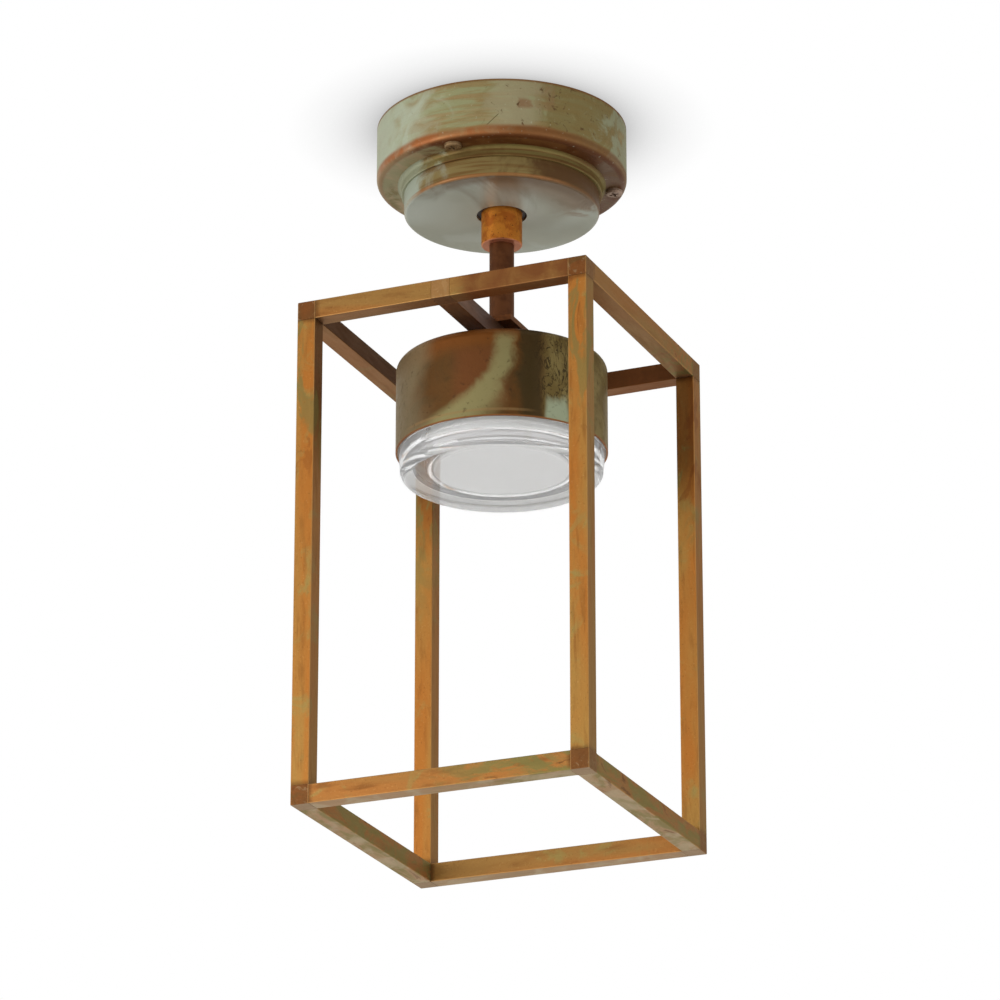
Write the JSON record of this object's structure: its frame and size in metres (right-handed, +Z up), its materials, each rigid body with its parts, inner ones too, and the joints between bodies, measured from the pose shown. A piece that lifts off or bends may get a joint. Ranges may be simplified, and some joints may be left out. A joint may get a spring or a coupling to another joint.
{
  "type": "porch ceiling lantern",
  "caption": "Ceiling lantern: a round stepped canopy and short swivelling stem carry an open cage of square tube around a round lamp head with thick screw-in glass.",
  "frame": {"origin": "centre of the canopy's rim, in the plane of the ceiling", "axes": "+Z up, out of the ceiling plate's back; X and Y along the sides of the cage, with the crossbar along Y; -Y is the front"},
  "size_m": [0.16, 0.16, 0.386],
  "materials": {
    "cage_brass": "aged, mottled brown patina, satin",
    "canopy_patina": "pale grey-green verdigris over worn copper-brown brass",
    "collar_brass": "turned, burnished, semi-gloss",
    "stem_bronze": "dark brown patina, satin",
    "head_patina": "brown brass with streaked and crackled green patina",
    "screw_brass": "dull, tarnished",
    "zinc_steel": "zinc plated",
    "rubber": "matt",
    "white_plastic": "moulded",
    "lead_sleeve": "glass-fibre sleeve",
    "lamp_plastic": "moulded, satin",
    "lamp_diffuser": "frosted",
    "lens_glass": "thick clear pressed glass"
  },
  "bodies": {
    "canopy": {"ceiling_gasket": "rubber", "ceiling_plate": "zinc_steel", "plate_pillars": "zinc_steel", "cable_grommet": "rubber", "terminal_block": "white_plastic", "terminal_screws": "zinc_steel", "earth_screw": "zinc_steel", "canopy_lead": "lead_sleeve", "canopy_cup": "canopy_patina", "canopy_ring": "canopy_patina", "canopy_cap": "canopy_patina", "canopy_screws": "screw_brass", "carrier_disc": "zinc_steel", "collar": "collar_brass", "stem_seal": "rubber", "collar_nut": "zinc_steel", "swivel_washer": "white_plastic"},
    "lantern": {"stop_washer": "zinc_steel", "stem_nuts": "zinc_steel", "stem_tube": "stem_bronze", "stem_foot_plate": "stem_bronze", "stem_lead": "lead_sleeve", "head_nipple": "zinc_steel", "head_spacer": "stem_bronze", "head_housing": "head_patina", "holder_plate": "zinc_steel", "head_nut": "zinc_steel", "lampholder": "white_plastic", "holder_screws": "zinc_steel", "thread_ring": "head_patina", "crossbar": "cage_brass", "upright_front_left": "cage_brass", "top_corner_front_left": "cage_brass", "bottom_corner_front_left": "cage_brass", "top_bar_front_left": "cage_brass", "upright_rear_left": "cage_brass", "top_corner_rear_left": "cage_brass", "bottom_corner_rear_left": "cage_brass", "top_bar_rear_left": "cage_brass", "top_bar_left": "cage_brass", "bottom_bar_left": "cage_brass", "upright_front_right": "cage_brass", "top_corner_front_right": "cage_brass", "bottom_corner_front_right": "cage_brass", "top_bar_front_right": "cage_brass", "upright_rear_right": "cage_brass", "top_corner_rear_right": "cage_brass", "bottom_corner_rear_right": "cage_brass", "top_bar_rear_right": "cage_brass", "top_bar_right": "cage_brass", "bottom_bar_right": "cage_brass", "tee_block_front": "cage_brass", "bottom_bar_front": "cage_brass", "tee_block_rear": "cage_brass", "bottom_bar_rear": "cage_brass"},
    "lens_seat": {"lens_gasket": "rubber"},
    "lens": {"glass_lens": "lens_glass"},
    "lamp": {"lamp_body": "lamp_plastic", "lamp_pins": "screw_brass", "lamp_diffuser": "lamp_diffuser"}
  },
  "joints": [
    {"name": "lantern_swivel", "type": "hinge", "parent": "canopy", "child": "lantern", "pos_m": [0, 0, -0.05], "axis": [0, 0, 1], "range_deg": [-165, 165]},
    {"name": "lens_lower", "type": "slide", "parent": "lantern", "child": "lens_seat", "axis": [0, 0, -1], "range_m": [0, 0.008]},
    {"name": "lens_turn", "type": "hinge", "parent": "lens_seat", "child": "lens", "pos_m": [0, 0, -0.185], "axis": [0, 0, -1], "range_deg": [0, 720]},
    {"name": "lamp_twist", "type": "hinge", "parent": "lantern", "child": "lamp", "pos_m": [0, 0, -0.17], "axis": [0, 0, -1], "range_deg": [0, 15]}
  ],
  "couplings": [
    {"joint": "lens_lower", "follows": "lens_turn", "m_per_rad": 0.0006366}
  ]
}
